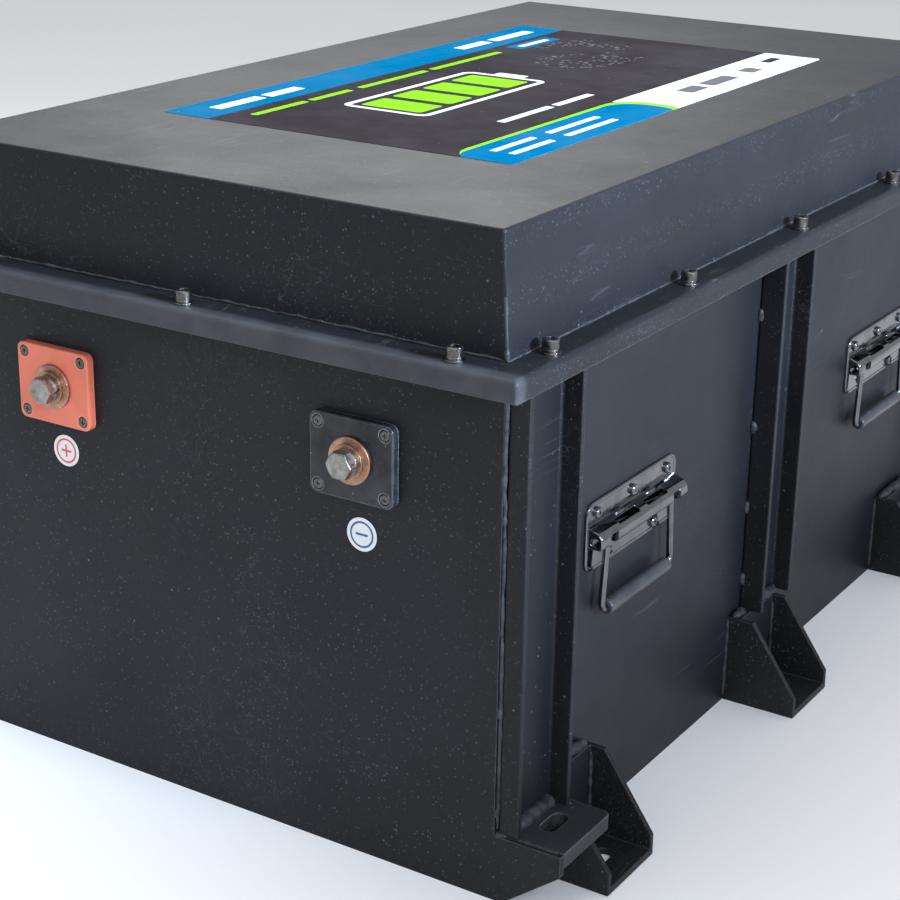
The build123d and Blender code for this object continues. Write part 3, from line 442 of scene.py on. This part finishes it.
LABEL = label_print("label_print")
RED_INK = rgb(0.62, 0.05, 0.03)
BLUE_INK = rgb(0.004, 0.085, 0.2)
PLUS_PRINT = polarity_print("plus_print", middle_of("plus_sticker"), RED_INK, True)
MINUS_PRINT = polarity_print("minus_print", middle_of("minus_sticker"), BLUE_INK, False)


def finish_node(name, material):
    slots = NODES[name].data.materials
    slots.clear()
    slots.append(material)


BY_SLOT = {
    "black_powder_coat": PAINT,
    "gasket_rubber": RUBBER,
    "zinc_steel": SCREW_STEEL,
    "red_moulding": RED_MOULDING,
    "black_moulding": BLACK_MOULDING,
    "copper": COPPER,
    "sticker_film": PLUS_PRINT,
    "label_film": LABEL,
    "chrome_plate": CHROME,
    "black_sleeve": SLEEVE,
    "cell_wrap": CELL_WRAP,
    "bare_aluminium": ALUMINIUM,
    "grey_moulding": GREY_MOULDING,
    "lead_jacket": RUBBER,
}
for part in frame["record"]["subparts"]:
    finish_node(part["node"], BY_SLOT[part["material_slot"]])
finish_node("minus_sticker", MINUS_PRINT)
finish_node("terminal_bolts", BOLT_STEEL)
finish_node("terminal_spring_washers", BOLT_STEEL)
finish_node("cell_busbars", BUSBAR)
for end in ENDS:
    for side in SIDES:
        finish_node(f"lug_{end}_{side}", CUT_EDGE)


def round_arrises(name, radius):
    """Rounds a plate's cut edges by a small real radius."""
    node = NODES[name]
    weld = node.modifiers.new("join", "WELD")
    weld.merge_threshold = 0.001 * MM
    flat = node.modifiers.new("flats", "DECIMATE")
    flat.decimate_type = "DISSOLVE"
    flat.angle_limit = radians(1)
    edge = node.modifiers.new("arris", "BEVEL")
    edge.width = radius * MM
    edge.segments = 3
    edge.limit_method = "ANGLE"
    edge.angle_limit = radians(35)
    edge.harden_normals = True


ROUNDED = ["front_wall", "rear_wall"]
ROUNDED += [f"{kind}_{end}_{side}" for kind in ("corner_post", "lug") for end in ENDS for side in SIDES]
ROUNDED += [f"foot_{place}_{side}" for place in PLACES for side in SIDES]
ROUNDED += [f"middle_rib_{side}" for side in SIDES]
for name in ROUNDED:
    round_arrises(name, 0.8)


# ---------------------------------------------------------------- shared modelling steps
def edit(obj):
    bpy.ops.object.select_all(action="DESELECT")
    obj.select_set(True)
    bpy.context.view_layer.objects.active = obj
    bpy.ops.object.mode_set(mode="EDIT")


def leave_edit():
    bpy.ops.object.mode_set(mode="OBJECT")


def settle(obj, name, material, body):
    """Gives a finished piece its name, finish and body, with its place in its mesh."""
    obj.name = name
    obj.data.name = name
    bpy.ops.object.select_all(action="DESELECT")
    obj.select_set(True)
    bpy.context.view_layer.objects.active = obj
    bpy.ops.object.transform_apply(location=True, rotation=True, scale=True)
    bpy.ops.object.shade_smooth_by_angle(angle=radians(40))
    obj.data.materials.clear()
    obj.data.materials.append(material)
    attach(obj, body)
    obj.select_set(False)
    return obj


def weld_bead(name, start, end, radius, pitch=2.6, jitter=0.22, squash=(1.0, 1.0), seed=1):
    """A run of weld ripples between two points, in millimetres, closed and rounded at both ends."""
    draw = random.Random(seed)
    start, end = Vector(start), Vector(end)
    run = end - start
    steps = max(4, round(run.length / pitch))
    way = run.normalized()
    turn = way.to_track_quat("Z", "Y")
    bpy.ops.mesh.primitive_circle_add(
        vertices=10, radius=radius * MM, fill_type="NGON", location=start * MM,
        rotation=turn.to_euler(), scale=(squash[0], squash[1], 1))
    bead = bpy.context.object
    edit(bead)
    size = 1.0
    wanted = 0.35
    bpy.ops.transform.resize(value=(wanted,) * 3, center_override=start * MM)
    size = wanted
    for step in range(1, steps + 1):
        near_end = min(step, steps - step)
        rounding = {0: 0.35, 1: 0.85}.get(near_end, 1.0)
        wanted = rounding * (1.0 + (0.12 if step % 2 else -0.1) + draw.uniform(-jitter, jitter))
        sway = Vector([draw.uniform(-jitter, jitter) * radius * 0.3 for axis in range(3)])
        here = start + run * step / steps
        bpy.ops.mesh.extrude_region_move(
            TRANSFORM_OT_translate={"value": (run / steps + sway) * MM})
        bpy.ops.transform.resize(value=(wanted / size,) * 3, center_override=here * MM)
        size = wanted
    bpy.ops.mesh.select_all(action="SELECT")
    bpy.ops.mesh.normals_make_consistent(inside=False)
    leave_edit()
    smooth = bead.modifiers.new("round", "SUBSURF")
    smooth.levels = smooth.render_levels = 1
    bpy.ops.object.modifier_apply(modifier="round")
    return settle(bead, name, WELD, "case")


# ---------------------------------------------------------------- welds
def mm_box(node):
    low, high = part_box(node)
    return low / MM, high / MM


wall_low, wall_high = mm_box("right_wall")
front_low, front_high = mm_box("front_wall")
case_x = wall_high.x
end_y = -front_low.y
lug_low, lug_high = mm_box("lug_front_right")
post_low, post_high = mm_box("corner_post_front_right")
rib_low, rib_high = mm_box("middle_rib_right")
lid_low, lid_high = mm_box("lid")
lip_top = mm_box("lid_flat_washers")[0].z

for side, sx in SIDES.items():
    for end, sy in ENDS.items():
        corner = f"{end}_{side}"
        seam_x, seam_y = sx * (case_x - 0.9), sy * (end_y - 1.8)
        weld_bead(
            f"corner_seam_weld_{corner}", (seam_x, seam_y, wall_high.z - 5), (seam_x, seam_y, 258), 1.9,
            seed=11 + sx + 3 * sy)
        weld_bead(
            f"corner_seam_fill_{corner}", (seam_x, seam_y, 266), (seam_x, seam_y, 48), 1.3, 5.0, 0.3,
            seed=25 + sx + 3 * sy)
        for count, height in enumerate((250.0, 180.0, 127.0, 60.0)):
            weld_bead(
                f"corner_tack_{corner}_{count}", (seam_x, seam_y, height + 4), (seam_x, seam_y, height - 4), 2.0,
                seed=40 + count + sx + 3 * sy)
        web_x = sx * (case_x + 5.5)
        weld_bead(
            f"post_foot_weld_{corner}", (web_x, sy * -(post_low.y + 3), lug_high.z + 1.5),
            (web_x, sy * -(post_high.y - 2), lug_high.z + 1.5), 5.0, 3.4, seed=70 + sx + 3 * sy)
        weld_bead(
            f"post_leg_weld_{corner}", (sx * (case_x + 4), sy * -(post_high.y - 1), lug_high.z + 0.5),
            (sx * (case_x + 20), sy * -(post_high.y - 1), lug_high.z + 0.5), 2.6, 3.0, seed=90 + sx + 3 * sy)
        weld_bead(
            f"lug_wall_weld_{corner}", (sx * (case_x - 1), sy * -(lug_low.y - 1.5), lug_high.z + 0.2),
            (sx * (case_x + 41), sy * -(lug_low.y - 1.5), lug_high.z - 0.1), 1.3, 2.4, seed=110 + sx + 3 * sy)
        weld_bead(
            f"lug_corner_weld_{corner}", (sx * (case_x - 2), sy * (end_y - 1.5), lug_high.z + 0.5),
            (sx * (case_x + 7), sy * (end_y - 3.5), lug_high.z + 0.5), 2.9, 2.6, seed=130 + sx + 3 * sy)
    for place in PLACES:
        foot_low, foot_high = mm_box(f"foot_{place}_{side}")
        root_x = sx * (case_x + 2.0)
        if place == "middle":
            spans = ((foot_low.y + 1, rib_low.y - 0.5),)
        elif place == "front":
            spans = ((max(foot_low.y, post_high.y) + 1, foot_high.y - 1),)
        else:
            spans = ((foot_low.y + 1, foot_high.y - 1),)
        for start_y, stop_y in spans:
            weld_bead(
                f"foot_top_weld_{place}_{side}", (sx * (case_x + 4), start_y, foot_high.z + 0.3),
                (sx * (case_x + 4), stop_y, foot_high.z + 0.3), 3.8, 3.2, seed=150 + sx)
        gusset_x = sx * (case_x + 10.6)
        weld_bead(
            f"gusset_weld_far_{place}_{side}", (gusset_x, foot_high.y - 4.8, foot_high.z - 4),
            (gusset_x, foot_high.y - 4.8, 8), 1.5, 2.8, seed=170 + sx)
        if place != "front":
            weld_bead(
                f"gusset_weld_near_{place}_{side}", (gusset_x, foot_low.y + 4.8, foot_high.z - 4),
                (gusset_x, foot_low.y + 4.8, 8), 1.5, 2.8, seed=190 + sx)
            weld_bead(
                f"gusset_wall_weld_{place}_{side}", (sx * (case_x + 0.6), foot_low.y - 0.4, foot_high.z - 1),
                (sx * (case_x + 0.6), foot_low.y - 0.4, 3), 1.5, 2.8, seed=200 + sx)
    weld_bead(
        f"rib_foot_weld_{side}", (sx * (case_x + 5.5), rib_low.y + 5, rib_low.z + 1.5),
        (sx * (case_x + 5.5), rib_high.y - 4, rib_low.z + 1.5), 4.6, 3.4, seed=210 + sx)
    for count, height in enumerate((290.0, 207.0, 146.0, 90.0)):
        for where, y in (("near", rib_low.y - 0.6), ("far", rib_high.y + 0.6)):
            weld_bead(
                f"rib_stitch_{where}_{side}_{count}", (sx * (case_x + 1.0), y, height + 5),
                (sx * (case_x + 1.0), y, height - 5), 2.8, 3.2, seed=230 + count)

cover_x = case_x - 1.0
cover_y = end_y - 1.0
for end, sy in ENDS.items():
    weld_bead(
        f"cover_seam_weld_{end}", (-cover_x + 2, sy * cover_y, lip_top + 0.1), (cover_x - 2, sy * cover_y, lip_top + 0.1),
        0.9, 4.0, 0.4, seed=300 + sy)
for side, sx in SIDES.items():
    weld_bead(
        f"cover_seam_weld_{side}", (sx * cover_x, -cover_y + 2, lip_top + 0.1), (sx * cover_x, cover_y - 2, lip_top + 0.1),
        0.8, 5.0, 0.4, seed=310 + sx)
    for end, sy in ENDS.items():
        weld_bead(
            f"cover_corner_weld_{end}_{side}", (sx * (cover_x - 0.5), sy * (cover_y - 0.5), lip_top - 0.5),
            (sx * (cover_x - 1), sy * (cover_y - 1), lip_top + 8), 2.0, 2.4, seed=320 + sx + 3 * sy)


# ---------------------------------------------------------------- handle covers
def pick_edges(obj, wanted):
    """Selects the edges whose middle and direction pass a test, in edit mode, in millimetres."""
    bpy.ops.mesh.select_mode(type="EDGE")
    bpy.ops.mesh.select_all(action="DESELECT")
    bpy.ops.object.mode_set(mode="OBJECT")
    place = obj.matrix_world
    points = [place @ v.co / MM for v in obj.data.vertices]
    for edge in obj.data.edges:
        a, b = (points[i] for i in edge.vertices)
        edge.select = wanted((a + b) / 2, (b - a).normalized())
    bpy.ops.object.mode_set(mode="EDIT")


def pick_faces(obj, wanted):
    """Selects the faces whose middle and normal pass a test, in edit mode, in millimetres."""
    bpy.ops.mesh.select_mode(type="FACE")
    bpy.ops.mesh.select_all(action="DESELECT")
    bpy.ops.object.mode_set(mode="OBJECT")
    place = obj.matrix_world
    for face in obj.data.polygons:
        face.select = wanted(place @ face.center / MM, face.normal)
    bpy.ops.object.mode_set(mode="EDIT")


def block(low, high):
    """A cube primitive between two corners in millimetres, placed in its mesh."""
    low, high = Vector(low), Vector(high)
    bpy.ops.object.select_all(action="DESELECT")
    bpy.ops.mesh.primitive_cube_add(size=1, location=(low + high) / 2 * MM, scale=(high - low) * MM)
    made = bpy.context.object
    bpy.ops.object.transform_apply(location=True, rotation=True, scale=True)
    return made


def pressed_plate(low, high):
    """Back plate with rounded corners and a raised rolled border."""
    plate = block(low, high)
    edit(plate)
    pick_edges(plate, lambda middle, way: abs(way.x) > 0.9)
    bpy.ops.mesh.bevel(offset=8 * MM, segments=7, affect="EDGES")
    pick_faces(plate, lambda middle, normal: normal.x > 0.9)
    bpy.ops.mesh.inset(thickness=0.7 * MM, depth=0)
    bpy.ops.transform.translate(value=(0.7 * MM, 0, 0))
    bpy.ops.mesh.inset(thickness=1.3 * MM, depth=0)
    bpy.ops.mesh.inset(thickness=0.7 * MM, depth=0)
    bpy.ops.transform.translate(value=(-0.6 * MM, 0, 0))
    leave_edit()
    return plate


def hood(y0, y1, wall_x, pivot):
    """Pressed hood sloping out from the plate over the pivot, with a rounded nose and rolled ends."""
    body = block((wall_x + 1, y0, pivot.z - 5.2), (pivot.x + 5.4, y1, pivot.z + 9.0))
    edit(body)
    pick_edges(body, lambda middle, way: middle.x > pivot.x and middle.z > pivot.z and abs(way.y) > 0.9)
    bpy.ops.transform.translate(value=(-0.5 * MM, 0, -4.2 * MM))
    pick_edges(body, lambda middle, way: middle.x > pivot.x and abs(way.y) > 0.9)
    bpy.ops.mesh.bevel(offset=3.6 * MM, segments=6, affect="EDGES")
    pick_edges(body, lambda middle, way: (abs(middle.y - y0) < 0.01 or abs(middle.y - y1) < 0.01) and way.z > -2)
    bpy.ops.mesh.bevel(offset=1.5 * MM, segments=4, affect="EDGES")
    leave_edit()
    return body


def carve(body, tool):
    """Cuts a tool's shape out of a piece and throws the tool away."""
    cut = body.modifiers.new("cut", "BOOLEAN")
    cut.object = tool
    cut.solver = "EXACT"
    bpy.context.view_layer.objects.active = body
    bpy.ops.object.modifier_apply(modifier="cut")
    bpy.data.objects.remove(tool)


def pin_bore(y0, y1, pivot, radius):
    bpy.ops.object.select_all(action="DESELECT")
    bpy.ops.mesh.primitive_cylinder_add(
        vertices=32, radius=radius * MM, depth=(y1 - y0) * MM,
        location=Vector((pivot.x, (y0 + y1) / 2, pivot.z)) * MM, rotation=(pi / 2, 0, 0))
    return bpy.context.object


def join(pieces):
    bpy.ops.object.select_all(action="DESELECT")
    for piece in pieces:
        piece.select_set(True)
    bpy.context.view_layer.objects.active = pieces[0]
    bpy.ops.object.join()
    return pieces[0]


def rounded_tool(low, high, along, radius):
    """Block with its edges along one axis rounded, for cutting."""
    tool = block(low, high)
    edit(tool)
    pick_edges(tool, lambda middle, way: abs(way[along]) > 0.9)
    bpy.ops.mesh.bevel(offset=radius * MM, segments=3, affect="EDGES")
    leave_edit()
    return tool


def dimple(place, size):
    """Low oval bump pressed out of the hood's slope."""
    bpy.ops.object.select_all(action="DESELECT")
    bpy.ops.mesh.primitive_uv_sphere_add(
        segments=24, ring_count=12, radius=MM, location=place * MM, scale=size)
    made = bpy.context.object
    bpy.ops.object.transform_apply(location=True, rotation=True, scale=True)
    return made


def handle_cover(cad_node, joint):
    """Back plate and hood; the hood is notched under each leg of the bail and has two windows."""
    low, high = mm_box(cad_node)
    pivot = Vector(joint["pos_m"]) / MM
    leg_y, notch, roof = 43.0, 5.4, 2.7
    plate = pressed_plate(low, (low.x + 1.5, high.y, high.z))
    cover = hood(low.y + 1.5, high.y - 1.5, low.x, pivot)
    for side in (-1, 1):
        leg = pivot.y + side * leg_y
        carve(cover, block(
            (pivot.x - 3.3, leg - notch, pivot.z - 7), (pivot.x + 9, leg + notch, pivot.z + roof)))
        window = pivot.y + side * 19.0
        carve(cover, rounded_tool(
            (pivot.x - 1.5, window - 14.0, pivot.z - 0.2), (pivot.x + 3.2, window + 14.0, pivot.z + 12), 2, 1.2))
    bpy.ops.object.select_all(action="DESELECT")
    carve(cover, pin_bore(low.y - 1, high.y + 1, pivot, 3.2))
    bumps = [
        dimple(Vector((low.x + 3.4, pivot.y + side * 21.0, pivot.z + 8.2)), (2.2, 6.0, 1.6)) for side in (-1, 1)]
    return join([plate, cover] + bumps)


def copied(obj, shift=(0, 0, 0), mirrored=False):
    """A copy with its own mesh, moved, and mirrored to the other side wall if asked."""
    twin = obj.copy()
    twin.data = obj.data.copy()
    bpy.context.scene.collection.objects.link(twin)
    twin.data.transform(Matrix.Translation(shift))
    if mirrored:
        twin.data.transform(Matrix.Scale(-1, 4, (1, 0, 0)))
        twin.data.flip_normals()
    return twin


cover_model = handle_cover("handle_plate_front_right", JOINTS["bail_front_right"])
for end in ENDS:
    gap = Vector(JOINTS[f"bail_{end}_right"]["pos_m"]) - Vector(JOINTS["bail_front_right"]["pos_m"])
    for side, sx in SIDES.items():
        cover = copied(cover_model, gap, sx < 0)
        settle(cover, f"handle_cover_{end}_{side}", CHROME, "case")
        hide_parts(f"handle_plate_{end}_{side}")
bpy.data.objects.remove(cover_model)


# ---------------------------------------------------------------- floor, light and camera
def pale_floor():
    bpy.ops.mesh.primitive_plane_add(size=16, location=(0, 0, 0))
    floor = bpy.context.object
    floor.name = "studio_floor"
    f = Finish("pale_floor")
    f.set(Base_Color=f.mix(f.noise(2.0, 2.0), grey(0.9), grey(0.94)), Roughness=0.9)
    floor.data.materials.append(f.material)


def softbox(name, place, target, size, power, colour, spread):
    lamp = bpy.data.lights.new(name, "AREA")
    lamp.shape = "RECTANGLE"
    lamp.size, lamp.size_y = size
    lamp.energy = power
    lamp.color = colour
    lamp.spread = radians(spread)
    holder = bpy.data.objects.new(name, lamp)
    bpy.context.scene.collection.objects.link(holder)
    holder.location = place
    holder.rotation_euler = (Vector(target) - Vector(place)).to_track_quat("-Z", "Y").to_euler()


def studio():
    pale_floor()
    softbox("lid_side_softbox", (2.3, -0.1, 1.05), (0.22, -0.02, 0.44), (1.5, 0.15), 10, (0.62, 0.78, 1.0), 22)
    softbox("near_softbox", (1.7, -1.9, 1.5), (0.2, -0.3, 0.2), (1.2, 1.2), 13, (0.82, 0.9, 1.0), 120)
    softbox("back_softbox", (-0.9, 1.05, 1.45), (0, -0.15, 0.42), (1.0, 0.6), 9.5, (1.0, 0.99, 0.98), 150)
    softbox("overhead_softbox", (-0.5, -0.2, 2.6), (0, 0, 0.3), (2.2, 2.2), 28, (1.0, 0.99, 0.98), 180)
    world = bpy.data.worlds.new("studio")
    world.use_nodes = True
    world.node_tree.nodes["Background"].inputs["Color"].default_value = rgb(0.95, 0.97, 1.0)
    world.node_tree.nodes["Background"].inputs["Strength"].default_value = 0.62
    bpy.context.scene.world = world
    bpy.context.scene.view_settings.view_transform = "Standard"


def camera():
    lens = bpy.data.cameras.new("camera")
    lens.lens = 81.21
    lens.sensor_width = 36
    lens.clip_end = 50
    holder = bpy.data.objects.new("camera", lens)
    bpy.context.scene.collection.objects.link(holder)
    holder.location = (0.7634, -1.296, 0.692)
    holder.rotation_euler = (radians(69.505), radians(-0.856), radians(32.633))
    bpy.context.scene.camera = holder


studio()
camera()
